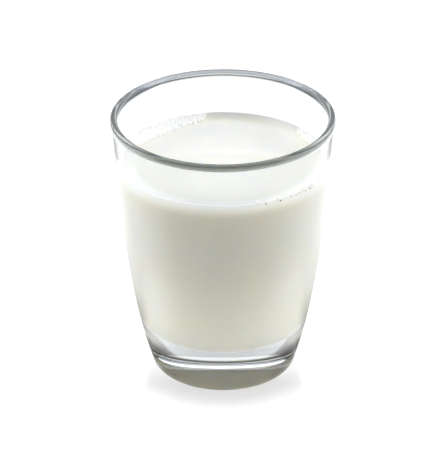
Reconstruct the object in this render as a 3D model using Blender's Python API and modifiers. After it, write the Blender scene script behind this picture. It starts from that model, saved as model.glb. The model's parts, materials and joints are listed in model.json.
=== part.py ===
"""A glass of milk: a clear pressed tumbler with a heavy base, filled with whole milk.

Two solids stand on the plane z = 0, centred on the z axis: the tumbler, and the milk with the
bubbles that float on it along the wall. All lengths are in metres.
"""

import math
import random

import bmesh
import bpy

# Tumbler, rolled lip: an upright band with a domed top, a little proud of the wall on both sides
HEIGHT = 0.1015
RIM_RADIUS = 0.0410
LIP_WIDTH = 0.0026
LIP_DOME = 0.0009
LIP_DOME_POWER = 2.4
LIP_FACE = 0.0008
LIP_FADE = 0.0008

# Tumbler, outside
WALL_TOP_RADIUS = 0.04065
TAPER = 0.0740
BELLY = 0.0069
BELLY_POWER = 3.7
HEEL_RADIUS = 0.0028
FOOT_WIDTH = 0.0020
PUNT_DEPTH = 0.0058

# Tumbler, inside
CAVITY_FLOOR = 0.0163
CAVITY_CORNER = 0.0150
WALL_AT_RIM = 0.0020
WALL_AT_FLOOR = 0.0032

# Milk
CLEARANCE = 0.0003
MILK_LEVEL = 0.0834
MENISCUS_RISE = 0.0016
MENISCUS_REACH = 0.0045

# Facets
TURN_STEPS = 64
WALL_STEPS = 9
ARC_STEPS = 7
LIP_STEPS = 8
SURFACE_STEPS = 4
PUNT_STEPS = 5
BUBBLE_SEGMENTS = 6
BUBBLE_RINGS = 4
WELD = 1e-6

# Foam: each raft hugs the wall between two bearings, counted from +X towards +Y. Bubbles are
# spread evenly along it with some play, small ones are more common, and most lie near the wall
RAFTS = (
    {"from_deg": 97, "to_deg": 160, "width": 0.0046, "bubbles": 66, "radii": (0.0006, 0.0011)},
    {"from_deg": 18, "to_deg": 36, "width": 0.0026, "bubbles": 14, "radii": (0.0005, 0.0009)},
    {"from_deg": -78, "to_deg": -28, "width": 0.0020, "bubbles": 32, "radii": (0.0005, 0.0012)},
)
BUBBLE_SINK = 0.35
BUBBLE_PLAY = (0.1, 0.9)
SMALL_BIAS = 2.0
WALL_BIAS = 1.5
RAFT_END_TAPER = 0.5
FOAM_SEED = 7

# Rounding of a corner: turns of the search for its tangent point, and the step of a slope
TANGENT_TURNS = 20
SLOPE_STEP = 1e-5

# Heights at which the lip's dome and its upright band end
DOME_FOOT = HEIGHT - LIP_DOME
LIP_FOOT = DOME_FOOT - LIP_FACE - LIP_FADE


def outer_radius(z):
    """The outer wall at height z: a straight taper with a belly that pulls in towards the foot."""
    drop = DOME_FOOT - z
    return WALL_TOP_RADIUS - TAPER * drop - BELLY * (max(drop, 0.0) / DOME_FOOT) ** BELLY_POWER


def inner_radius(z):
    """The inner wall at height z: the wall thickens from the rim down to the cavity floor."""
    depth = (HEIGHT - z) / (HEIGHT - CAVITY_FLOOR)
    return outer_radius(z) - WALL_AT_RIM - (WALL_AT_FLOOR - WALL_AT_RIM) * depth


def wall_lean(radius_at, z):
    """The angle by which a wall leans outwards at height z, from the slope of its radius."""
    rise = radius_at(z + SLOPE_STEP) - radius_at(z - SLOPE_STEP)
    return math.atan(rise / (2 * SLOPE_STEP))


def corner_arc(radius_at, floor, corner):
    """An arc tangent to a level floor and to the wall above it, from the wall down to the floor."""
    lean = 0.0
    for _ in range(TANGENT_TURNS):
        tangent = floor + corner * (1 - math.sin(lean))
        lean = wall_lean(radius_at, tangent)
    centre = radius_at(tangent) - corner * math.cos(lean)
    arc = []
    for step in range(ARC_STEPS + 1):
        angle = lean + (math.pi / 2 - lean) * step / ARC_STEPS
        arc.append((centre + corner * math.cos(angle), floor + corner - corner * math.sin(angle)))
    return arc


def wall_points(radius_at, top, bottom, steps):
    """Points down a wall, from the height top to the height bottom, without the last one."""
    heights = (top + (bottom - top) * step / steps for step in range(steps))
    return [(radius_at(z), z) for z in heights]


def lip():
    """The lip, from its inner face over the domed top to its outer face."""
    half = LIP_WIDTH / 2
    centre = RIM_RADIUS - half
    points = [(centre - half, DOME_FOOT - LIP_FACE)]
    for step in range(LIP_STEPS + 1):
        angle = math.pi * (1 - step / LIP_STEPS)
        across = math.copysign(abs(math.cos(angle)) ** (2 / LIP_DOME_POWER), math.cos(angle))
        up = abs(math.sin(angle)) ** (2 / LIP_DOME_POWER)
        points.append((centre + half * across, DOME_FOOT + LIP_DOME * up))
    points.append((centre + half, DOME_FOOT - LIP_FACE))
    return points


def punt(foot_edge):
    """The domed hollow under the base, from the foot's inner edge to the axis."""
    points = []
    for step in range(PUNT_STEPS + 1):
        share = 1 - step / PUNT_STEPS
        points.append((foot_edge * share, PUNT_DEPTH * (1 - share**2)))
    return points


def tumbler_outline():
    """The tumbler's section, from the axis up the inside, over the lip and down the outside."""
    inner_corner = corner_arc(inner_radius, CAVITY_FLOOR, CAVITY_CORNER)
    inner_wall = wall_points(inner_radius, LIP_FOOT, inner_corner[0][1], WALL_STEPS)
    inside = [(0.0, CAVITY_FLOOR)] + list(reversed(inner_wall + inner_corner))
    heel = corner_arc(outer_radius, 0.0, HEEL_RADIUS)
    outer_wall = wall_points(outer_radius, LIP_FOOT, heel[0][1], WALL_STEPS)
    return inside + lip() + outer_wall + heel + punt(heel[-1][0] - FOOT_WIDTH)


def milk_outline():
    """The milk's section: its surface, the edge that climbs the wall, and its sides and bottom."""
    def side(z):
        return inner_radius(z) - CLEARANCE

    edge_top = MILK_LEVEL + MENISCUS_RISE
    edge_radius = side(edge_top)
    surface = [(0.0, MILK_LEVEL)]
    for step in range(SURFACE_STEPS):
        share = step / SURFACE_STEPS
        inward = MENISCUS_REACH * (1 - share)
        surface.append((edge_radius - inward, MILK_LEVEL + MENISCUS_RISE * share**3))
    corner = corner_arc(side, CAVITY_FLOOR + CLEARANCE, CAVITY_CORNER - CLEARANCE)
    sides = wall_points(side, edge_top, corner[0][1], WALL_STEPS)
    return surface + sides + corner + [(0.0, CAVITY_FLOOR + CLEARANCE)]


def principled(name, colour, roughness, transmission=0.0, ior=1.5):
    """A material with one Principled BSDF."""
    material = bpy.data.materials.new(name)
    material.use_nodes = True
    shader = material.node_tree.nodes["Principled BSDF"]
    shader.inputs["Base Color"].default_value = (*colour, 1.0)
    shader.inputs["Roughness"].default_value = roughness
    shader.inputs["Metallic"].default_value = 0.0
    shader.inputs["Transmission Weight"].default_value = transmission
    shader.inputs["IOR"].default_value = ior
    return material


def turned(name, outline, material, collection):
    """A solid of revolution about the z axis, from a section that starts and ends on the axis."""
    mesh = bpy.data.meshes.new(name)
    edges = [(i, i + 1) for i in range(len(outline) - 1)]
    mesh.from_pydata([(radius, 0.0, z) for radius, z in outline], edges, [])
    mesh.materials.append(material)
    solid = bpy.data.objects.new(name, mesh)
    collection.objects.link(solid)
    screw = solid.modifiers.new("Turn", "SCREW")
    screw.axis = "Z"
    screw.angle = 2 * math.pi
    screw.steps = TURN_STEPS
    screw.render_steps = TURN_STEPS
    screw.use_merge_vertices = True
    screw.merge_threshold = WELD
    screw.use_smooth_shade = True
    return solid


def applied(solid):
    """Replaces an object's mesh by its evaluated one, and drops its modifiers."""
    graph = bpy.context.evaluated_depsgraph_get()
    mesh = bpy.data.meshes.new_from_object(solid.evaluated_get(graph))
    solid.modifiers.clear()
    solid.data = mesh
    return mesh


def bubble(number, centre, radius, collection):
    """One bubble, a small coarse sphere."""
    name = f"bubble_{number:03d}"
    mesh = bpy.data.meshes.new(name)
    shape = bmesh.new()
    bmesh.ops.create_uvsphere(
        shape, u_segments=BUBBLE_SEGMENTS, v_segments=BUBBLE_RINGS, radius=radius
    )
    shape.to_mesh(mesh)
    shape.free()
    sphere = bpy.data.objects.new(name, mesh)
    sphere.location = centre
    sphere.hide_render = True
    sphere.display_type = "WIRE"
    collection.objects.link(sphere)


def foam(collection):
    """The rafts of bubbles, spread along the wall and thinning out towards the middle."""
    draw = random.Random(FOAM_SEED)
    wall = inner_radius(MILK_LEVEL) - 2 * CLEARANCE
    number = 0
    for raft in RAFTS:
        smallest, largest = raft["radii"]
        for step in range(raft["bubbles"]):
            share = (step + draw.uniform(*BUBBLE_PLAY)) / raft["bubbles"]
            bearing = math.radians(raft["from_deg"] + (raft["to_deg"] - raft["from_deg"]) * share)
            radius = smallest + (largest - smallest) * draw.random() ** SMALL_BIAS
            width = raft["width"] * math.sin(math.pi * share) ** RAFT_END_TAPER
            reach = wall - radius - width * draw.random() ** WALL_BIAS
            height = MILK_LEVEL + radius * BUBBLE_SINK
            centre = (reach * math.cos(bearing), reach * math.sin(bearing), height)
            bubble(number, centre, radius, collection)
            number += 1


def keep_outer_shell(mesh):
    """Drops every loose shell but the one with most faces, which fills the hollows between bubbles."""
    shape = bmesh.new()
    shape.from_mesh(mesh)
    bmesh.ops.remove_doubles(shape, verts=shape.verts, dist=WELD)
    unseen = set(shape.faces)
    shells = []
    while unseen:
        shell = {unseen.pop()}
        front = set(shell)
        while front:
            front = {face for f in front for e in f.edges for face in e.link_faces} - shell
            shell |= front
        unseen -= shell
        shells.append(shell)
    shells.sort(key=len)
    for shell in shells[:-1]:
        bmesh.ops.delete(shape, geom=list(shell), context="FACES")
    shape.to_mesh(mesh)
    shape.free()


def fuse(solid, collection):
    """Joins a collection's objects to a solid, then removes them."""
    union = solid.modifiers.new("Foam", "BOOLEAN")
    union.operation = "UNION"
    union.operand_type = "COLLECTION"
    union.collection = collection
    union.solver = "EXACT"
    keep_outer_shell(applied(solid))
    for piece in list(collection.objects):
        bpy.data.objects.remove(piece, do_unlink=True)
    bpy.data.collections.remove(collection)


def main():
    for item in list(bpy.data.objects):
        bpy.data.objects.remove(item, do_unlink=True)
    parts = bpy.data.collections.new("glass_of_milk")
    helpers = bpy.data.collections.new("bubbles")
    for collection in (parts, helpers):
        bpy.context.scene.collection.children.link(collection)
    clear_glass = principled("clear_glass", (0.93, 0.95, 0.94), 0.02, transmission=1.0, ior=1.52)
    whole_milk = principled("whole_milk", (0.89, 0.87, 0.79), 0.18, ior=1.35)

    turned("tumbler", tumbler_outline(), clear_glass, parts)
    milk = turned("milk", milk_outline(), whole_milk, parts)
    applied(milk)
    foam(helpers)
    fuse(milk, helpers)


main()
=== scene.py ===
"""Looks of a glass of milk: clear pressed tumbler, whole milk, foam, and a pale studio.

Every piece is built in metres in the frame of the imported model, centred on the z axis. The
photograph is seen from -Y, so depth is Y: it grows from the front of the glass to its back.
"""

import json
import logging
import math
from dataclasses import dataclass
from enum import Enum
from typing import Any, Callable, Sequence

import bmesh
import bpy
from mathutils import Matrix, Vector

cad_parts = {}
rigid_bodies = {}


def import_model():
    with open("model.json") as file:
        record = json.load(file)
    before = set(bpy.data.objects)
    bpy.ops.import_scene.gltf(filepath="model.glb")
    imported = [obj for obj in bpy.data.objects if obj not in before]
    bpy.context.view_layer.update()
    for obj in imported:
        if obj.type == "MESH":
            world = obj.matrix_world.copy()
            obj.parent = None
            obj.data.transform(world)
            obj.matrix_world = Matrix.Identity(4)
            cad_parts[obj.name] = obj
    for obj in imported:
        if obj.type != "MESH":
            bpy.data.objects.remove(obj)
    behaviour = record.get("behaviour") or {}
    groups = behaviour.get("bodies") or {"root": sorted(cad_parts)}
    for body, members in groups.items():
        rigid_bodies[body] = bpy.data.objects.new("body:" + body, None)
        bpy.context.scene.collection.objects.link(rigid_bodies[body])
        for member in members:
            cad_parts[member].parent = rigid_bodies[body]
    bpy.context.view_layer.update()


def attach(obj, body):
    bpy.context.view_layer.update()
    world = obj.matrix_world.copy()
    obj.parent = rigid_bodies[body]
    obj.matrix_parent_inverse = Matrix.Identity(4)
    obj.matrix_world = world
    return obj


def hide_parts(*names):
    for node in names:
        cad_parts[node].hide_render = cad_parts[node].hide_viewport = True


Point = tuple[float, float]
Range = tuple[float, float]
Socket = bpy.types.NodeSocket

LOG = logging.getLogger("glass_of_milk")
MM = 0.001
IMAGE_WIDTH = 445
TANGENT_TURNS = 20
SLOPE_STEP = 0.01 * MM
WELD = 0.002 * MM


def linear(colour: str) -> tuple[float, float, float, float]:
    """Turn an sRGB hex colour into linear light.

    Args:
        colour: Six hex digits, such as "f4efe2".

    Returns:
        Linear red, green, blue and an alpha of one.
    """
    def one(pair: str) -> float:
        """Turn one channel into linear light."""
        value = int(pair, 16) / 255
        return value / 12.92 if value <= 0.04045 else ((value + 0.055) / 1.055) ** 2.4

    return (one(colour[0:2]), one(colour[2:4]), one(colour[4:6]), 1.0)


def add_node(tree: bpy.types.NodeTree, kind: str, inputs: dict[Any, Any] | None = None,
             **settings: Any) -> bpy.types.Node:
    """Add a node with its settings, values and links.

    Args:
        tree: The node tree that takes the node.
        kind: The node's type, such as "ShaderNodeTexNoise".
        inputs: For each input, by name or index, a value or an output socket to link.
        **settings: Properties to set on the node before its inputs.

    Returns:
        The new node.
    """
    node = tree.nodes.new(kind)
    for name, value in settings.items():
        setattr(node, name, value)
    for key, value in (inputs or {}).items():
        if isinstance(value, Socket):
            tree.links.new(value, node.inputs[key])
        else:
            node.inputs[key].default_value = value
    return node


def maths(tree: bpy.types.NodeTree, operation: str, *values: Any) -> Socket:
    """Add a math node on sockets or numbers and return its result."""
    return add_node(tree, "ShaderNodeMath", dict(enumerate(values)), operation=operation).outputs[0]


def product(tree: bpy.types.NodeTree, *values: Any) -> Any:
    """Multiply sockets or numbers."""
    result = values[0]
    for value in values[1:]:
        result = maths(tree, "MULTIPLY", result, value)
    return result


def total(tree: bpy.types.NodeTree, *values: Any) -> Any:
    """Add up sockets or numbers."""
    result = values[0]
    for value in values[1:]:
        result = maths(tree, "ADD", result, value)
    return result


def eased(tree: bpy.types.NodeTree, value: Any, start: float, end: float,
          low: float = 0.0, high: float = 1.0) -> Socket:
    """Ease from low to high while a value goes from start to end.

    Args:
        tree: The node tree that takes the node.
        value: Socket of the value.
        start: Value at which the easing starts.
        end: Value at which it ends.
        low: Result up to the start.
        high: Result from the end on.

    Returns:
        The socket of the result.
    """
    return add_node(tree, "ShaderNodeMapRange", {
        "Value": value, "From Min": start, "From Max": end, "To Min": low, "To Max": high},
        interpolation_type="SMOOTHSTEP").outputs[0]


def blend(tree: bpy.types.NodeTree, share: Any, first: Any, second: Any) -> Socket:
    """Mix two colours, or sockets of colours, by a share from 0 to 1."""
    return add_node(tree, "ShaderNodeMix", {"Factor": share, 6: first, 7: second},
                    data_type="RGBA").outputs[2]


def mixed(tree: bpy.types.NodeTree, share: Any, first: Any, second: Any) -> Socket:
    """Mix two numbers, or sockets of numbers, by a share from 0 to 1."""
    return add_node(tree, "ShaderNodeMix", {"Factor": share, 2: first, 3: second},
                    data_type="FLOAT").outputs[0]


def whereabouts(tree: bpy.types.NodeTree) -> tuple[Socket, Socket, Socket, Any]:
    """Find where a shaded point of a piece lies.

    Args:
        tree: The node tree of the piece's material.

    Returns:
        The point in object coordinates, its distance from the axis, its height, and its
        separate coordinates by name.
    """
    point = add_node(tree, "ShaderNodeTexCoord").outputs["Object"]
    flat = add_node(tree, "ShaderNodeVectorMath", {0: point, 1: (1, 1, 0)}, operation="MULTIPLY")
    away = add_node(tree, "ShaderNodeVectorMath", {0: flat.outputs[0]}, operation="LENGTH")
    split = add_node(tree, "ShaderNodeSeparateXYZ", {0: point}).outputs
    return point, away.outputs["Value"], split["Z"], split


def from_here(band: Range, start: float) -> Range:
    """Shift a band so that it counts from a place."""
    return (start + band[0], start + band[1])


def new_material(name: str) -> tuple[bpy.types.Material, bpy.types.NodeTree, bpy.types.Node]:
    """Make a material with its node tree and its Principled shader."""
    made = bpy.data.materials.new(name)
    made.use_nodes = True
    return made, made.node_tree, made.node_tree.nodes["Principled BSDF"]


@dataclass(frozen=True)
class TumblerForm:
    """Sizes and section of the tumbler, in metres, as the solids have them."""

    height: float = 0.1015
    rim_radius: float = 0.0410
    lip_width: float = 0.0026
    lip_dome: float = 0.0009
    lip_dome_power: float = 2.4
    lip_face: float = 0.0008
    lip_fade: float = 0.0008
    wall_top_radius: float = 0.04065
    taper: float = 0.0740
    belly: float = 0.0069
    belly_power: float = 3.7
    heel_radius: float = 0.0028
    foot_width: float = 0.0020
    punt_depth: float = 0.0058
    cavity_floor: float = 0.0163
    cavity_corner: float = 0.0150
    wall_at_rim: float = 0.0020
    wall_at_floor: float = 0.0032

    @property
    def dome_foot(self) -> float:
        """Height at which the lip's domed top starts."""
        return self.height - self.lip_dome

    @property
    def lip_foot(self) -> float:
        """Height at which the lip has faded into the wall."""
        return self.dome_foot - self.lip_face - self.lip_fade

    def outer(self, z: float) -> float:
        """Radius of the outer wall at height z."""
        drop = self.dome_foot - z
        pull = (max(drop, 0.0) / self.dome_foot) ** self.belly_power
        return self.wall_top_radius - self.taper * drop - self.belly * pull

    def inner(self, z: float) -> float:
        """Radius of the inner wall at height z."""
        depth = (self.height - z) / (self.height - self.cavity_floor)
        wall = self.wall_at_rim + (self.wall_at_floor - self.wall_at_rim) * depth
        return self.outer(z) - wall


@dataclass(frozen=True)
class MilkForm:
    """Sizes of the milk's surface, in metres: its level, and the edge that climbs the wall."""

    level: float = 0.0834
    edge_rise: float = 0.0016
    edge_reach: float = 0.0027


TUMBLER = TumblerForm()
MILK = MilkForm()


def lean(radius_at: Callable[[float], float], z: float) -> float:
    """Angle by which a wall leans outwards at height z."""
    rise = radius_at(z + SLOPE_STEP) - radius_at(z - SLOPE_STEP)
    return math.atan(rise / (2 * SLOPE_STEP))


def corner_arc(radius_at: Callable[[float], float], floor: float, corner: float,
               steps: int) -> list[Point]:
    """Round the corner between a wall and a level floor.

    Args:
        radius_at: Radius of the wall at a height.
        floor: Height of the floor.
        corner: Radius of the rounding.
        steps: Number of facets.

    Returns:
        Radius and height of each point, from the wall down to the floor.
    """
    slant = 0.0
    tangent = floor + corner
    for _ in range(TANGENT_TURNS):
        tangent = floor + corner * (1 - math.sin(slant))
        slant = lean(radius_at, tangent)
    centre = radius_at(tangent) - corner * math.cos(slant)
    points = []
    for step in range(steps + 1):
        angle = slant + (math.pi / 2 - slant) * step / steps
        points.append((centre + corner * math.cos(angle), floor + corner - corner * math.sin(angle)))
    return points


def down_wall(radius_at: Callable[[float], float], top: float, bottom: float,
              steps: int) -> list[Point]:
    """Points down a wall from a height to a lower one, without the last."""
    heights = (top + (bottom - top) * step / steps for step in range(steps))
    return [(radius_at(z), z) for z in heights]


def plain_mesh(piece: bpy.types.Object) -> bpy.types.Mesh:
    """Swap a piece's mesh for its evaluated one and drop its modifiers."""
    graph = bpy.context.evaluated_depsgraph_get()
    mesh = bpy.data.meshes.new_from_object(piece.evaluated_get(graph))
    piece.modifiers.clear()
    piece.data = mesh
    return mesh


def face_out(mesh: bpy.types.Mesh) -> None:
    """Point every face of a closed mesh outwards."""
    shape = bmesh.new()
    shape.from_mesh(mesh)
    bmesh.ops.recalc_face_normals(shape, faces=shape.faces)
    shape.to_mesh(mesh)
    shape.free()


class TurnedTree:
    """Geometry Nodes that turn a section about the z axis."""

    INPUTS = (("Section Points", "NodeSocketInt"), ("Turn Steps", "NodeSocketInt"),
              ("Weld Distance", "NodeSocketFloat"))

    def __init__(self, name: str, material: bpy.types.Material) -> None:
        """Build the tree.

        Args:
            name: Name of the node tree.
            material: Finish of the turned piece.
        """
        tree = bpy.data.node_groups.new(name, "GeometryNodeTree")
        self.tree = tree
        tree.interface.new_socket("Section", in_out="INPUT", socket_type="NodeSocketGeometry")
        self.ids = {label: tree.interface.new_socket(
            label, in_out="INPUT", socket_type=kind).identifier for label, kind in self.INPUTS}
        tree.interface.new_socket("Geometry", in_out="OUTPUT", socket_type="NodeSocketGeometry")
        start = add_node(tree, "NodeGroupInput").outputs

        here = add_node(tree, "GeometryNodeInputPosition").outputs[0]
        grid = add_node(tree, "GeometryNodeMeshGrid", {
            "Size X": 1.0, "Size Y": 1.0, "Vertices X": start["Section Points"],
            "Vertices Y": maths(tree, "ADD", start["Turn Steps"], 1.0)})
        across = add_node(tree, "ShaderNodeSeparateXYZ", {0: here}).outputs
        along = maths(tree, "MULTIPLY", maths(tree, "ADD", across["X"], 0.5),
                      maths(tree, "SUBTRACT", start["Section Points"], 1.0))
        section = add_node(tree, "GeometryNodeSampleIndex", {
            "Geometry": start["Section"], "Index": maths(tree, "ROUND", along)},
            data_type="FLOAT_VECTOR", domain="POINT")
        tree.links.new(here, section.inputs["Value"])
        angle = maths(tree, "MULTIPLY", maths(tree, "ADD", across["Y"], 0.5), math.tau)
        turned = add_node(tree, "ShaderNodeVectorRotate", {
            "Vector": section.outputs["Value"], "Axis": (0, 0, 1), "Angle": angle},
            rotation_type="AXIS_ANGLE")
        wrapped = add_node(tree, "GeometryNodeSetPosition", {
            "Geometry": grid.outputs["Mesh"], "Position": turned.outputs["Vector"]})
        welded = add_node(tree, "GeometryNodeMergeByDistance", {
            "Geometry": wrapped.outputs["Geometry"], "Distance": start["Weld Distance"]})
        real = add_node(tree, "GeometryNodeRealizeInstances", {0: welded.outputs["Geometry"]})
        dressed = add_node(tree, "GeometryNodeSetMaterial", {
            "Geometry": real.outputs[0], "Material": material})
        add_node(tree, "NodeGroupOutput", {0: dressed.outputs["Geometry"]})

    def turn(self, name: str, section: Sequence[Point], steps: int) -> bpy.types.Object:
        """Turn a section into a plain mesh.

        Args:
            name: Name of the piece.
            section: Radius and height of each point, from axis to axis.
            steps: Number of facets round the axis.

        Returns:
            The closed piece, with its faces pointing out.
        """
        mesh = bpy.data.meshes.new(name)
        edges = [(i, i + 1) for i in range(len(section) - 1)]
        mesh.from_pydata([(radius, 0.0, z) for radius, z in section], edges, [])
        piece = bpy.data.objects.new(name, mesh)
        bpy.context.scene.collection.objects.link(piece)
        modifier = piece.modifiers.new("Turn", "NODES")
        modifier.node_group = self.tree
        modifier[self.ids["Section Points"]] = len(section)
        modifier[self.ids["Turn Steps"]] = steps
        modifier[self.ids["Weld Distance"]] = WELD
        solid = plain_mesh(piece)
        face_out(solid)
        solid.shade_smooth()
        return piece


@dataclass(frozen=True)
class ClearGlass:
    """Soda-lime glass, pressed and fire-polished: clear, hard highlights, a faint cool cast.

    The lip's grey-green is painted shade, standing for the dark that the rim shows, and the glass
    is made less clear there so that it shows. The mould leaves a faint waviness that breaks up
    the reflections. The painted shade of the lip changes with depth and towards the sides, and at
    the back it covers only the dome.
    """

    name: str = "fire_polished_soda_lime_glass"
    tint: str = "f9fbfb"
    # Painted shade: the lip colours below stand for the dark that the rim shows, darkest on the dome
    lip_painted_shade: str = "b0b6ae"
    lip_top_painted_shade: str = "626863"
    side_lip_painted_shade: str = "c8ccc9"
    back_lip_painted_shade: str = "878e94"
    lip_shade_opacity: float = 0.25
    ior: float = 1.52
    wave_size: float = 14 * MM
    wave_depth: float = 0.012 * MM

    side_band: Range = (26 * MM, 40 * MM)
    back_depth: Range = (-12 * MM, 30 * MM)
    dome_only_depth: Range = (22 * MM, 38 * MM)
    lip_start: float = -0.1 * MM
    dome_start: float = -0.35 * MM
    lip_soft: float = 0.5 * MM
    top_start: float = 0.6 * MM
    top_end: float = -0.3 * MM

    def lip_share(self, tree: bpy.types.NodeTree, height: Socket, depth: Socket) -> Socket:
        """Tell the lip from the wall.

        Args:
            tree: The node tree of the material.
            height: Height above the foot.
            depth: Depth, from front to back.

        Returns:
            A share from 0 on the wall to 1 on the lip.
        """
        behind = eased(tree, depth, *self.dome_only_depth)
        foot = eased(tree, behind, 0.0, 1.0, TUMBLER.lip_foot + self.lip_start,
                     TUMBLER.dome_foot + self.dome_start)
        return eased(tree, maths(tree, "SUBTRACT", height, foot), 0.0, self.lip_soft)

    def material(self) -> bpy.types.Material:
        """Build the glass material."""
        made, tree, shader = new_material(self.name)
        point, _, height, split = whereabouts(tree)
        lip = self.lip_share(tree, height, split["Y"])
        top = eased(tree, height, TUMBLER.lip_foot + self.top_start, TUMBLER.height + self.top_end)
        side = eased(tree, maths(tree, "ABSOLUTE", split["X"]), *self.side_band)
        back = eased(tree, split["Y"], *self.back_depth)
        # Painted shade on the lip, blended by height, towards the sides and towards the back
        colour = blend(tree, top, linear(self.lip_painted_shade), linear(self.lip_top_painted_shade))
        colour = blend(tree, side, colour, linear(self.side_lip_painted_shade))
        colour = blend(tree, back, colour, linear(self.back_lip_painted_shade))
        tree.links.new(blend(tree, lip, linear(self.tint), colour), shader.inputs["Base Color"])
        # The lip is made less clear so that its painted shade shows
        clear = eased(tree, lip, 0.0, 1.0, 1.0, 1.0 - self.lip_shade_opacity)
        tree.links.new(clear, shader.inputs["Transmission Weight"])
        shader.inputs["Roughness"].default_value = 0.0
        shader.inputs["IOR"].default_value = self.ior
        noise = add_node(tree, "ShaderNodeTexNoise", {
            "Vector": point, "Scale": 1 / self.wave_size, "Detail": 1.0})
        wave = add_node(tree, "ShaderNodeBump", {
            "Height": noise.outputs[0], "Strength": 1.0, "Distance": self.wave_depth})
        tree.links.new(wave.outputs[0], shader.inputs["Normal"])
        return made


@dataclass(frozen=True)
class WholeMilk:
    """Whole milk: fat globules scatter light several millimetres deep, under a wet gloss.

    Its open surface is nearly white. Under the glass, where it has no gloss, it is a creamier
    shaded copy, painted shade. The underside is painted darker, and the thin edge that climbs the
    wall at the back is painted creamiest, both painted shade. The light that the glass gathers in
    the milk's sides, brim and lower corner, and on the back of its open surface, is painted as a
    faint glow.
    """

    name: str = "whole_milk"
    # Painted shade: the body, underside and back edge colours are creamier, darker shaded copies of
    # the milk; the edge colour also tints the random flecks
    open_colour: str = "fcf4ec"
    shaded_body_colour: str = "f7f3e6"
    edge_shade_and_fleck_colour: str = "f6f1e0"
    under_shade_colour: str = "f1eddc"
    fleck_size: float = 5 * MM
    fleck_share: float = 0.06
    gloss: float = 0.06
    open_specular: float = 0.5
    ior: float = 1.35
    scatter: float = 7 * MM
    scatter_colour: tuple[float, float, float] = (1.0, 0.88, 0.62)

    # Painted light: the milk glows faintly, though it is no lamp
    glow_colour: str = "e9efff"
    side_glow: float = 0.20
    back_glow: float = 0.11
    brim_glow: float = 0.22
    corner_glow: float = 0.23

    open_band: Range = (-0.30 * MM, -0.05 * MM)
    edge_band: Range = (0.1 * MM, 0.7 * MM)
    edge_depth: Range = (-10 * MM, 20 * MM)
    under_band: Range = (1.0 * MM, 0.1 * MM)
    side_foot_band: Range = (9 * MM, 30 * MM)
    side_head_band: Range = (0.2 * MM, -1.0 * MM)
    side_facing: Range = (0.10, 0.30)
    back_depth: Range = (-10 * MM, 36 * MM)
    brim_band: Range = (-5 * MM, 0.0)
    brim_reach: Range = (-6 * MM, -1 * MM)
    brim_depth: Range = (10 * MM, -20 * MM)
    corner_band: Range = (14 * MM, 9 * MM)
    corner_facing: Range = (0.50, 0.95)

    def glow(self, tree: bpy.types.NodeTree, away: Socket, height: Socket, depth: Socket,
             surface: Socket) -> Socket:
        """Add up the painted glow on the milk's sides, open surface, brim and lower corner.

        Args:
            tree: The node tree of the material.
            away: Distance from the axis.
            height: Height above the foot.
            depth: Depth, from front to back.
            surface: Share of the open surface.

        Returns:
            The strength of the glow.
        """
        level, floor, wall = MILK.level, TUMBLER.cavity_floor, TUMBLER.inner(MILK.level)
        facing = add_node(tree, "ShaderNodeLayerWeight", {"Blend": 0.5}).outputs["Facing"]
        side = product(tree, eased(tree, facing, *self.side_facing, 0.0, self.side_glow),
                       eased(tree, height, *from_here(self.side_foot_band, floor)),
                       eased(tree, height, *from_here(self.side_head_band, level)))
        back = product(tree, surface, eased(tree, depth, *self.back_depth, 0.0, self.back_glow))
        brim = product(tree, eased(tree, height, *from_here(self.brim_band, level),
                                   0.0, self.brim_glow),
                       eased(tree, away, *from_here(self.brim_reach, wall)),
                       eased(tree, depth, *self.brim_depth))
        corner = product(tree, eased(tree, height, *from_here(self.corner_band, floor)),
                         eased(tree, facing, *self.corner_facing, 0.0, self.corner_glow))
        return total(tree, side, back, brim, corner)

    def material(self) -> bpy.types.Material:
        """Build the milk material."""
        made, tree, shader = new_material(self.name)
        point, away, height, split = whereabouts(tree)
        depth = split["Y"]
        noise = add_node(tree, "ShaderNodeTexNoise", {
            "Vector": point, "Scale": 1 / self.fleck_size, "Detail": 4.0})
        fleck = product(tree, noise.outputs[0], self.fleck_share)
        surface = eased(tree, height, *from_here(self.open_band, MILK.level))
        edge = product(tree, eased(tree, height, *from_here(self.edge_band, MILK.level)),
                       eased(tree, depth, *self.edge_depth))
        under = eased(tree, height, *from_here(self.under_band, TUMBLER.cavity_floor))
        # Painted shade: creamier under the glass, darker on the underside, creamier on the back edge
        colour = blend(tree, surface, linear(self.shaded_body_colour), linear(self.open_colour))
        colour = blend(tree, under, colour, linear(self.under_shade_colour))
        colour = blend(tree, edge, colour, linear(self.edge_shade_and_fleck_colour))
        # Flecks of tone that differs at random, in the colour of the edge's painted shade
        colour = blend(tree, fleck, colour, linear(self.edge_shade_and_fleck_colour))
        tree.links.new(colour, shader.inputs["Base Color"])
        shader.inputs["Roughness"].default_value = self.gloss
        shader.inputs["IOR"].default_value = self.ior
        tree.links.new(product(tree, surface, self.open_specular),
                       shader.inputs["Specular IOR Level"])
        # Painted light: the glow is emission on the milk
        tree.links.new(self.glow(tree, away, height, depth, surface),
                       shader.inputs["Emission Strength"])
        shader.inputs["Emission Color"].default_value = linear(self.glow_colour)
        shader.inputs["Subsurface Weight"].default_value = 1.0
        shader.inputs["Subsurface Radius"].default_value = self.scatter_colour
        shader.inputs["Subsurface Scale"].default_value = self.scatter
        return made


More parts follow.
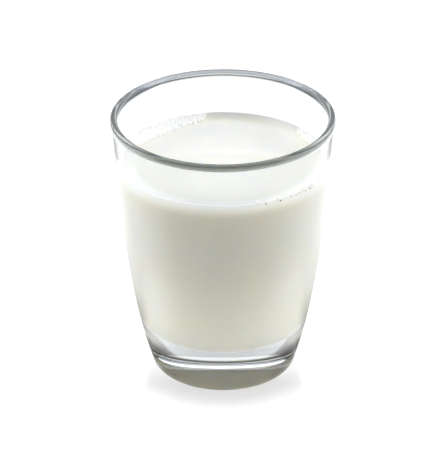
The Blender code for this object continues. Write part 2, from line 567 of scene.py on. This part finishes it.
@dataclass(frozen=True)
class MilkFoam:
    """Froth of whole milk: thin white bubble walls with a painted glow.

    Where the glass opens a bubble, its dull olive is painted shade of the hollow inside.
    """

    name: str = "milk_foam"
    colour: str = "fffdf5"
    # Painted shade: dull olive stands for the shaded hollow of a bubble that the glass opens
    open_colour: str = "8a8870"
    film_gloss: float = 0.3
    painted_glow: float = 0.25
    scatter: float = 1.5 * MM
    scatter_colour: tuple[float, float, float] = (1.0, 0.95, 0.85)
    pit_size: float = 0.5 * MM
    pit_depth: float = 0.004 * MM

    def material(self) -> bpy.types.Material:
        """Build the foam material."""
        made, tree, shader = new_material(self.name)
        point = add_node(tree, "ShaderNodeTexCoord").outputs["Object"]
        opened = add_node(tree, "ShaderNodeAttribute",
                          attribute_name=RaftTree.OPEN_NAME).outputs["Fac"]
        # Painted shade where the glass opens a bubble
        tree.links.new(blend(tree, opened, linear(self.colour), linear(self.open_colour)),
                       shader.inputs["Base Color"])
        shader.inputs["Roughness"].default_value = self.film_gloss
        shader.inputs["Subsurface Weight"].default_value = 1.0
        shader.inputs["Subsurface Radius"].default_value = self.scatter_colour
        shader.inputs["Subsurface Scale"].default_value = self.scatter
        # Painted light: the unopened foam glows
        tree.links.new(product(tree, maths(tree, "SUBTRACT", 1.0, opened), self.painted_glow),
                       shader.inputs["Emission Strength"])
        shader.inputs["Emission Color"].default_value = linear(self.colour)
        cells = add_node(tree, "ShaderNodeTexVoronoi", {
            "Vector": point, "Scale": 1 / self.pit_size})
        pits = add_node(tree, "ShaderNodeBump", {
            "Height": cells.outputs["Distance"], "Strength": 1.0, "Distance": self.pit_depth})
        tree.links.new(pits.outputs[0], shader.inputs["Normal"])
        return made


@dataclass
class Tumbler:
    """The pressed tumbler, turned from one closed section."""

    turn_steps: int = 240
    wall_steps: int = 60
    lip_steps: int = 28
    fade_steps: int = 6
    corner_steps: int = 24
    heel_steps: int = 16
    floor_steps: int = 6
    punt_steps: int = 24

    def lip(self) -> list[Point]:
        """The rolled lip, from the inner wall over the domed top to the outer wall."""
        form = TUMBLER
        half = form.lip_width / 2
        centre = form.rim_radius - half
        face_middle = form.dome_foot - form.lip_face / 2
        fade_in, fade_out = [], []
        for step in range(self.fade_steps + 1):
            share = step / self.fade_steps
            ease = share * share * (3 - 2 * share)
            z = form.lip_foot + form.lip_fade * share
            fade_in.append((form.inner(z) + (centre - half - form.inner(z)) * ease, z))
            fade_out.append((form.outer(z) + (centre + half - form.outer(z)) * ease, z))
        dome = []
        bulge = 2 / form.lip_dome_power
        for step in range(self.lip_steps + 1):
            angle = math.pi * (1 - step / self.lip_steps)
            across = math.copysign(abs(math.cos(angle)) ** bulge, math.cos(angle))
            up = abs(math.sin(angle)) ** bulge
            dome.append((centre + half * across, form.dome_foot + form.lip_dome * up))
        inner_face = [(centre - half, face_middle)]
        outer_face = [(centre + half, face_middle)]
        return fade_in + inner_face + dome + outer_face + fade_out[::-1]

    def section(self) -> list[Point]:
        """Outline of the glass, from the axis up the inside, over the lip and down to the axis."""
        form = TUMBLER
        corner = corner_arc(form.inner, form.cavity_floor, form.cavity_corner, self.corner_steps)
        wall = down_wall(form.inner, form.lip_foot, corner[0][1], self.wall_steps)
        edge = corner[-1][0]
        inside = [(edge * step / self.floor_steps, form.cavity_floor)
                  for step in range(self.floor_steps)]
        inside += list(reversed(wall[1:] + corner))
        heel = corner_arc(form.outer, 0.0, form.heel_radius, self.heel_steps)
        outside = down_wall(form.outer, form.lip_foot, heel[0][1], self.wall_steps)[1:] + heel
        foot = heel[-1][0] - form.foot_width
        under = []
        for step in range(self.punt_steps + 1):
            share = 1 - step / self.punt_steps
            under.append((foot * share, form.punt_depth * (1 - share**2)))
        return inside + self.lip() + outside + under

    def build(self, glass: bpy.types.Material) -> bpy.types.Object:
        """Turn the glass and put it in place of its solid."""
        piece = TurnedTree("turned_glass", glass).turn("clear_tumbler", self.section(),
                                                       self.turn_steps)
        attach(piece, "root")
        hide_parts("tumbler")
        return piece


@dataclass
class MilkFill:
    """The milk, from its surface and climbing edge down the wall to the cavity floor."""

    into_wall: float = 0.05 * MM
    turn_steps: int = 240
    side_steps: int = 60
    corner_steps: int = 24
    surface_steps: int = 40
    floor_steps: int = 6
    edge_crowding: float = 1.6

    def side(self, z: float) -> float:
        """Radius of the milk's side at height z, just inside the glass wall."""
        return TUMBLER.inner(z) + self.into_wall

    def section(self) -> list[Point]:
        """Outline of the milk, from the axis over its surface and down to the axis."""
        top = MILK.level + MILK.edge_rise
        edge = self.side(top)
        points = []
        for step in range(self.surface_steps):
            radius = edge * (1 - (1 - step / self.surface_steps) ** self.edge_crowding)
            climb = MILK.edge_rise * math.exp(-(edge - radius) / MILK.edge_reach)
            points.append((radius, MILK.level + climb))
        floor = TUMBLER.cavity_floor - self.into_wall
        corner = corner_arc(self.side, floor, TUMBLER.cavity_corner + self.into_wall,
                            self.corner_steps)
        points += down_wall(self.side, top, corner[0][1], self.side_steps) + corner
        flat = corner[-1][0]
        points += [(flat * (1 - step / self.floor_steps), floor)
                   for step in range(1, self.floor_steps + 1)]
        return points

    def build(self, milk: bpy.types.Material) -> bpy.types.Object:
        """Turn the milk and put it in place of its solid."""
        piece = TurnedTree("turned_milk", milk).turn("milk_fill", self.section(), self.turn_steps)
        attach(piece, "root")
        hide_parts("milk")
        return piece


class RaftSide(Enum):
    """Where a raft of foam lies along the wall."""

    BACK_LEFT = "foam_back_left"
    BACK_RIGHT = "foam_back_right"
    FRONT_RIGHT = "foam_front_right"


@dataclass(frozen=True)
class Raft:
    """A raft of bubbles along the wall, between two bearings counted from +X towards +Y.

    Bubbles lean towards the smallest size by small_bias. They float on the climbing edge, or
    about lift above the level with height_play where climbs is False. Each is pressed into the
    wall, flattened at into_wall, and open where it would reach open_from past that.
    """

    side: RaftSide
    from_deg: float
    to_deg: float
    width: float
    smallest: float
    largest: float
    bubbles: int
    seed: int
    small_bias: float = 2.0
    climbs: bool = True
    lift: float = 0.0
    height_play: float = 0.0
    press: float = 0.10 * MM
    open_from: float = 0.05 * MM
    into_wall: float = -0.03 * MM


RAFTS = (
    Raft(RaftSide.BACK_LEFT, 101, 161, 5.2 * MM, 0.35 * MM, 0.85 * MM, 2000, 3),
    Raft(RaftSide.BACK_RIGHT, 17, 38, 2.6 * MM, 0.25 * MM, 0.60 * MM, 260, 5, 3.0),
    Raft(RaftSide.FRONT_RIGHT, -78, -24, 0.0, 0.60 * MM, 1.25 * MM, 18, 11, 1.5, climbs=False,
         lift=0.3 * MM, height_play=1.4 * MM, press=0.35 * MM, open_from=0.27 * MM,
         into_wall=0.10 * MM),
)


class RaftTree:
    """Geometry Nodes that strew bubbles along the wall and grow them into one pressed froth."""

    INPUTS = (("Bubbles", "NodeSocketInt"), ("Start", "NodeSocketFloat"),
              ("End", "NodeSocketFloat"), ("Width", "NodeSocketFloat"),
              ("Smallest", "NodeSocketFloat"), ("Largest", "NodeSocketFloat"),
              ("Small Bias", "NodeSocketFloat"), ("Wall Radius", "NodeSocketFloat"),
              ("Wall Slope", "NodeSocketFloat"), ("Level", "NodeSocketFloat"),
              ("Sink", "NodeSocketFloat"), ("Seed", "NodeSocketInt"),
              ("Press", "NodeSocketFloat"), ("Voxel", "NodeSocketFloat"),
              ("Edge Rise", "NodeSocketFloat"), ("Edge Reach", "NodeSocketFloat"),
              ("Height Play", "NodeSocketFloat"), ("Open From", "NodeSocketFloat"))
    OPEN_NAME = "opened"
    BEARING_DRAW, SIZE_DRAW, WIDTH_DRAW, HEIGHT_DRAW = 0, 100, 200, 300
    END_TAPER = 0.3
    WIDTH_BIAS = 0.9
    SKIN_DENSITY = 0.1
    OPEN_SOFT = 0.03 * MM

    def __init__(self, name: str, material: bpy.types.Material) -> None:
        """Build the tree.

        Args:
            name: Name of the node tree.
            material: Finish of the bubbles.
        """
        tree = bpy.data.node_groups.new(name, "GeometryNodeTree")
        self.tree = tree
        self.ids = {label: tree.interface.new_socket(
            label, in_out="INPUT", socket_type=kind).identifier for label, kind in self.INPUTS}
        tree.interface.new_socket("Geometry", in_out="OUTPUT", socket_type="NodeSocketGeometry")
        self.start = add_node(tree, "NodeGroupInput").outputs
        froth = self.froth()
        pressed = self.pressed(froth)
        smooth = add_node(tree, "GeometryNodeSetShadeSmooth", {0: pressed})
        whole = add_node(tree, "GeometryNodeRealizeInstances", {0: smooth.outputs[0]})
        dressed = add_node(tree, "GeometryNodeSetMaterial", {
            "Geometry": whole.outputs[0], "Material": material})
        add_node(tree, "NodeGroupOutput", {0: dressed.outputs[0]})

    def draw(self, offset: int, bias: Any) -> Socket:
        """Draw from 0 to 1 for each bubble, leaning towards 0 by the bias."""
        seed = maths(self.tree, "ADD", self.start["Seed"], float(offset))
        value = add_node(self.tree, "FunctionNodeRandomValue", {"Seed": seed}, data_type="FLOAT")
        return maths(self.tree, "POWER", value.outputs[1], bias)

    def between(self, low: Any, high: Any, share: Any) -> Socket:
        """Step from low to high by a share."""
        span = maths(self.tree, "SUBTRACT", high, low)
        return maths(self.tree, "ADD", low, maths(self.tree, "MULTIPLY", span, share))

    def froth(self) -> Socket:
        """Strew the bubbles on the milk and grow them together."""
        tree, start = self.tree, self.start
        share = self.draw(self.BEARING_DRAW, 1.0)
        ends = maths(tree, "POWER", maths(tree, "SINE", product(tree, share, math.pi)),
                     self.END_TAPER)
        bearing = self.between(start["Start"], start["End"], share)
        radius = self.between(start["Smallest"], start["Largest"],
                              self.draw(self.SIZE_DRAW, start["Small Bias"]))
        inward = product(tree, start["Width"], ends, self.draw(self.WIDTH_DRAW, self.WIDTH_BIAS))
        touching = maths(tree, "SUBTRACT", total(tree, start["Wall Radius"], start["Press"]),
                         radius)
        reach = maths(tree, "SUBTRACT", touching, inward)
        nearness = maths(tree, "EXPONENT", maths(
            tree, "DIVIDE", maths(tree, "SUBTRACT", reach, start["Wall Radius"]),
            start["Edge Reach"]))
        play = maths(tree, "SUBTRACT", self.draw(self.HEIGHT_DRAW, 1.0), 0.5)
        height = total(tree, start["Level"], product(tree, start["Edge Rise"], nearness),
                       product(tree, start["Height Play"], play),
                       product(tree, radius, start["Sink"]))
        spot = add_node(tree, "ShaderNodeCombineXYZ", {
            0: product(tree, reach, maths(tree, "COSINE", bearing)),
            1: product(tree, reach, maths(tree, "SINE", bearing)), 2: height})
        points = add_node(tree, "GeometryNodePoints", {
            "Count": start["Bubbles"], "Position": spot.outputs[0]})
        cloud = add_node(tree, "GeometryNodePointsToVolume", {
            "Points": points.outputs[0], "Density": 1.0, "Voxel Size": start["Voxel"],
            "Radius": radius}, resolution_mode="VOXEL_SIZE")
        return add_node(tree, "GeometryNodeVolumeToMesh", {
            "Volume": cloud.outputs[0], "Threshold": self.SKIN_DENSITY}).outputs[0]

    def pressed(self, froth: Socket) -> Socket:
        """Flatten the froth against the glass and mark where the glass opens a bubble."""
        tree, start = self.tree, self.start
        here = add_node(tree, "GeometryNodeInputPosition").outputs[0]
        split = add_node(tree, "ShaderNodeSeparateXYZ", {0: here}).outputs
        away = maths(tree, "SQRT", total(tree, product(tree, split["X"], split["X"]),
                                         product(tree, split["Y"], split["Y"])))
        above = maths(tree, "SUBTRACT", split["Z"], start["Level"])
        limit = total(tree, start["Wall Radius"], product(tree, start["Wall Slope"], above))
        shrink = maths(tree, "MINIMUM", maths(tree, "DIVIDE", limit, away), 1.0)
        flat = add_node(tree, "ShaderNodeCombineXYZ", {
            0: product(tree, split["X"], shrink), 1: product(tree, split["Y"], shrink),
            2: split["Z"]})
        opened = add_node(tree, "ShaderNodeMapRange", {
            "Value": maths(tree, "SUBTRACT", away, limit), "From Min": start["Open From"],
            "From Max": total(tree, start["Open From"], self.OPEN_SOFT)})
        marked = add_node(tree, "GeometryNodeStoreNamedAttribute", {
            "Geometry": froth, "Name": self.OPEN_NAME, "Value": opened.outputs[0]},
            data_type="FLOAT", domain="POINT")
        return add_node(tree, "GeometryNodeSetPosition", {
            "Geometry": marked.outputs[0], "Position": flat.outputs[0]}).outputs[0]

    def strew(self, name: str, values: dict[str, float | int]) -> bpy.types.Object:
        """Strew one raft as a plain mesh.

        Args:
            name: Name of the piece.
            values: A value for each of the tree's named inputs.

        Returns:
            The raft.
        """
        piece = bpy.data.objects.new(name, bpy.data.meshes.new(name))
        bpy.context.scene.collection.objects.link(piece)
        modifier = piece.modifiers.new("Strew", "NODES")
        modifier.node_group = self.tree
        for label, value in values.items():
            modifier[self.ids[label]] = value
        plain_mesh(piece)
        return piece


@dataclass
class Foam:
    """The rafts of bubbles that lie on the milk along the wall."""

    sink: float = 0.25
    voxel: float = 0.13 * MM
    rafts: Sequence[Raft] = RAFTS

    def build(self, froth: bpy.types.Material) -> list[bpy.types.Object]:
        """Strew every raft and put it in place of the milk's solid foam."""
        strewer = RaftTree("foam_raft", froth)
        pieces = []
        for raft in self.rafts:
            level = MILK.level + raft.lift
            piece = strewer.strew(raft.side.value, {
                "Bubbles": raft.bubbles, "Start": math.radians(raft.from_deg),
                "End": math.radians(raft.to_deg), "Width": raft.width,
                "Smallest": raft.smallest, "Largest": raft.largest,
                "Small Bias": raft.small_bias,
                "Wall Radius": TUMBLER.inner(level) + raft.into_wall,
                "Wall Slope": math.tan(lean(TUMBLER.inner, MILK.level)), "Level": level,
                "Sink": self.sink, "Seed": raft.seed, "Press": raft.press, "Voxel": self.voxel,
                "Edge Rise": MILK.edge_rise if raft.climbs else 0.0,
                "Edge Reach": MILK.edge_reach, "Height Play": raft.height_play,
                "Open From": raft.open_from})
            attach(piece, "root")
            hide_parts("milk")
            pieces.append(piece)
        return pieces


@dataclass(frozen=True)
class BacklitSheet:
    """A glossy white sheet lit from below: bright before the glass, dim under and behind it.

    Two thin rings of light, one under the foot and one behind it, show as bright bands in the
    base. The camera sees the sheet itself white, with a soft grey shade before the foot. Bands
    are distances from the glass's axis, and depths where they say so.
    """

    name: str = "backlit_white_sheet"
    gloss: float = 0.01
    ior: float = 1.5
    sheet_colour: str = "808080"
    # Painted shadow: the sheet's colour darkens near and under the glass
    shade_colour: str = "404040"
    glow_colour: str = "fcfbf5"
    white: str = "ffffff"

    front_glow: float = 2.3
    ahead_glow: float = 0.75
    ring_glow: float = 0.47
    back_glow: float = 0.10
    beside_glow: float = 0.50
    far_glow: float = 0.98
    catch_glow: float = 0.60
    seen_glow: float = 1.0
    seen_shade: float = 0.76

    shade_band: Range = (26 * MM, 48 * MM)
    front_band: Range = (36 * MM, 42 * MM)
    ahead_band: Range = (55 * MM, 110 * MM)
    ring_start: Range = (20.5 * MM, 22 * MM)
    ring_end: Range = (29 * MM, 27 * MM)
    beside_band: Range = (50 * MM, 72 * MM)
    far_band: Range = (85 * MM, 130 * MM)
    catch_start: Range = (36 * MM, 37.2 * MM)
    catch_end: Range = (41.2 * MM, 39.7 * MM)
    back_depth: Range = (-12 * MM, 20 * MM)
    white_band: Range = (90 * MM, 140 * MM)
    seen_band: Range = (46 * MM, 25 * MM)
    seen_depth: Range = (-4 * MM, -24 * MM)

    def glow(self, tree: bpy.types.NodeTree, away: Socket, depth: Socket) -> Socket:
        """Add up the glow that lights the glass and the milk.

        Args:
            tree: The node tree of the material.
            away: Distance from the axis of the glass.
            depth: Depth, from front to back.

        Returns:
            The strength of the glow.
        """
        beyond = product(tree, eased(tree, away, *self.front_band),
                         eased(tree, away, *self.ahead_band, self.front_glow, self.ahead_glow))
        ring = product(tree, eased(tree, away, *self.ring_start),
                       eased(tree, away, *self.ring_end), self.ring_glow)
        catch = product(tree, eased(tree, away, *self.catch_start),
                        eased(tree, away, *self.catch_end), self.catch_glow)
        rear = total(tree, eased(tree, away, *self.beside_band, self.back_glow, self.beside_glow),
                     eased(tree, away, *self.far_band, 0.0, self.far_glow - self.beside_glow),
                     catch)
        return mixed(tree, eased(tree, depth, *self.back_depth), total(tree, beyond, ring), rear)

    def material(self) -> bpy.types.Material:
        """Build the sheet material."""
        made, tree, shader = new_material(self.name)
        shader.inputs["Roughness"].default_value = self.gloss
        shader.inputs["IOR"].default_value = self.ior
        _, away, _, split = whereabouts(tree)
        # Painted shadow: darker colour near and under the glass
        colour = blend(tree, eased(tree, away, *self.shade_band), linear(self.shade_colour),
                       linear(self.sheet_colour))
        tree.links.new(colour, shader.inputs["Base Color"])
        # Painted shade before the foot, which only the camera sees
        shaded = product(tree, eased(tree, away, *self.seen_band),
                         eased(tree, split["Y"], *self.seen_depth))
        shown = eased(tree, shaded, 0.0, 1.0, self.seen_glow, self.seen_shade)
        seen = add_node(tree, "ShaderNodeLightPath").outputs["Is Camera Ray"]
        mirror = add_node(tree, "ShaderNodeFresnel", {"IOR": self.ior}).outputs[0]
        glow = mixed(tree, seen, self.glow(tree, away, split["Y"]), shown)
        tree.links.new(product(tree, glow, maths(tree, "SUBTRACT", 1.0, mirror)),
                       shader.inputs["Emission Strength"])
        neutral = maths(tree, "MAXIMUM", seen, eased(tree, away, *self.white_band))
        tree.links.new(blend(tree, neutral, linear(self.glow_colour), linear(self.white)),
                       shader.inputs["Emission Color"])
        return made


@dataclass(frozen=True)
class Panel:
    """A soft panel of light in the surround, the same on both sides of the view; in degrees.

    Turn counts from straight behind the glass, rise from the horizon up.
    """

    strength: float
    colour: str
    turn_from: float
    turn_to: float
    rise_from: float
    rise_to: float
    soft_turn: float = 6.0
    soft_rise: float = 8.0

    def light(self, tree: bpy.types.NodeTree, turn: Socket, rise: Socket) -> Socket:
        """Add the panel's light to the surround.

        Args:
            tree: The node tree of the surround.
            turn: Turn of the direction looked at, in radians.
            rise: Rise of that direction, in radians.

        Returns:
            The colour of the panel's light in that direction.
        """
        shares = []
        for value, low, high, soft in ((turn, self.turn_from, self.turn_to, self.soft_turn),
                                       (rise, self.rise_from, self.rise_to, self.soft_rise)):
            half = math.radians(soft) / 2
            for edge, way in ((math.radians(low), half), (math.radians(high), -half)):
                shares.append(eased(tree, value, edge - way, edge + way))
        colour = [self.strength * channel for channel in linear(self.colour)[:3]]
        return add_node(tree, "ShaderNodeVectorMath", {0: colour, "Scale": product(tree, *shares)},
                        operation="SCALE").outputs[0]


PANELS = (
    Panel(0.04, "fff6e6", -20, 200, -100, 100),
    Panel(1.2, "eef3fa", -20, 43.5, 9.5, 14, 1.5, 1.5),
    Panel(0.57, "eef3fa", -20, 43.5, 12, 20, 1.5, 2),
    Panel(0.84, "eef3fa", -20, 43.5, 20, 28, 1.5, 3),
    Panel(2.2, "ffffff", -20, 50, 28, 43, 4, 5),
    Panel(1.9, "f6f9ff", 64, 84, 12, 45, 4, 4),
    Panel(5.0, "f6f9ff", 80, 112, 8, 50, 6, 6),
    Panel(3.2, "f6f9ff", 80, 112, -4, 64, 6, 6),
    Panel(0.65, "ffffff", -20, 84, 42, 66, 8, 8),
    Panel(1.8, "ffffff", -20, 114, 62, 110, 12, 8),
)


@dataclass
class Studio:
    """Pale floor, soft light from behind and above, and the camera."""

    panels: Sequence[Panel] = PANELS
    light_turn: float = math.radians(4)
    backdrop: tuple[float, float, float, float] = (1.2, 1.2, 1.2, 1.0)

    table_radius: float = 3.0
    table_sides: int = 96
    table_gap: float = 0.1 * MM

    elevation: float = math.radians(28.125)
    distance: float = 1.0043
    aim_height: float = 0.05647
    side_step: float = -0.00027
    focal_pixels: float = 2704.4
    roll: float = math.radians(-0.242)
    sensor: float = 36.0

    def camera(self) -> None:
        """Place the camera at the photograph's viewing angle."""
        data = bpy.data.cameras.new("view")
        data.sensor_fit = "HORIZONTAL"
        data.sensor_width = self.sensor
        data.lens = self.focal_pixels / IMAGE_WIDTH * self.sensor
        camera = bpy.data.objects.new("view", data)
        bpy.context.scene.collection.objects.link(camera)
        spot = Vector((self.side_step, -self.distance * math.cos(self.elevation),
                       self.aim_height + self.distance * math.sin(self.elevation)))
        tilt = Matrix.Rotation(math.pi / 2 - self.elevation, 4, "X")
        camera.matrix_world = Matrix.Translation(spot) @ tilt @ Matrix.Rotation(self.roll, 4, "Z")
        bpy.context.scene.camera = camera

    def sky(self) -> None:
        """Light the scene by a surround of soft panels, which the camera sees as plain white."""
        world = bpy.data.worlds.new("surround")
        bpy.context.scene.world = world
        world.use_nodes = True
        tree = world.node_tree
        tree.nodes.clear()
        way = add_node(tree, "ShaderNodeSeparateXYZ", {
            0: add_node(tree, "ShaderNodeTexCoord").outputs["Generated"]}).outputs
        bearing = maths(tree, "ARCTAN2", way["X"], way["Y"])
        turn = maths(tree, "ABSOLUTE", maths(tree, "SUBTRACT", bearing, self.light_turn))
        rise = maths(tree, "ARCSINE", way["Z"])
        light = self.panels[0].light(tree, turn, rise)
        for panel in self.panels[1:]:
            light = add_node(tree, "ShaderNodeVectorMath", {
                0: light, 1: panel.light(tree, turn, rise)}, operation="MAXIMUM").outputs[0]
        seen = add_node(tree, "ShaderNodeLightPath").outputs["Is Camera Ray"]
        ground = add_node(tree, "ShaderNodeBackground", {
            "Color": blend(tree, seen, light, self.backdrop)})
        add_node(tree, "ShaderNodeOutputWorld", {"Surface": ground.outputs[0]})

    def floor(self) -> None:
        """Lay the table top, a backlit glossy white sheet."""
        mesh = bpy.data.meshes.new("table_top")
        shape = bmesh.new()
        bmesh.ops.create_circle(shape, cap_ends=True, segments=self.table_sides,
                                radius=self.table_radius)
        shape.to_mesh(mesh)
        shape.free()
        top = bpy.data.objects.new("table_top", mesh)
        top.location.z = -self.table_gap
        bpy.context.scene.collection.objects.link(top)
        mesh.materials.append(BacklitSheet().material())

    def build(self) -> None:
        """Set up camera, surround, floor and the plain view transform."""
        self.camera()
        self.sky()
        self.floor()
        settings = bpy.context.scene.view_settings
        settings.view_transform = "Standard"
        settings.look = "None"


def main() -> None:
    """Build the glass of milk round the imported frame."""
    logging.basicConfig(level=logging.INFO, format="%(name)s: %(message)s")
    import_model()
    Studio().build()
    glass = ClearGlass().material()
    milk = WholeMilk().material()
    froth = MilkFoam().material()
    for piece in (Tumbler().build(glass), MilkFill().build(milk), *Foam().build(froth)):
        LOG.info("%s has %d faces", piece.name, len(piece.data.polygons))


if __name__ == "__main__":
    main()
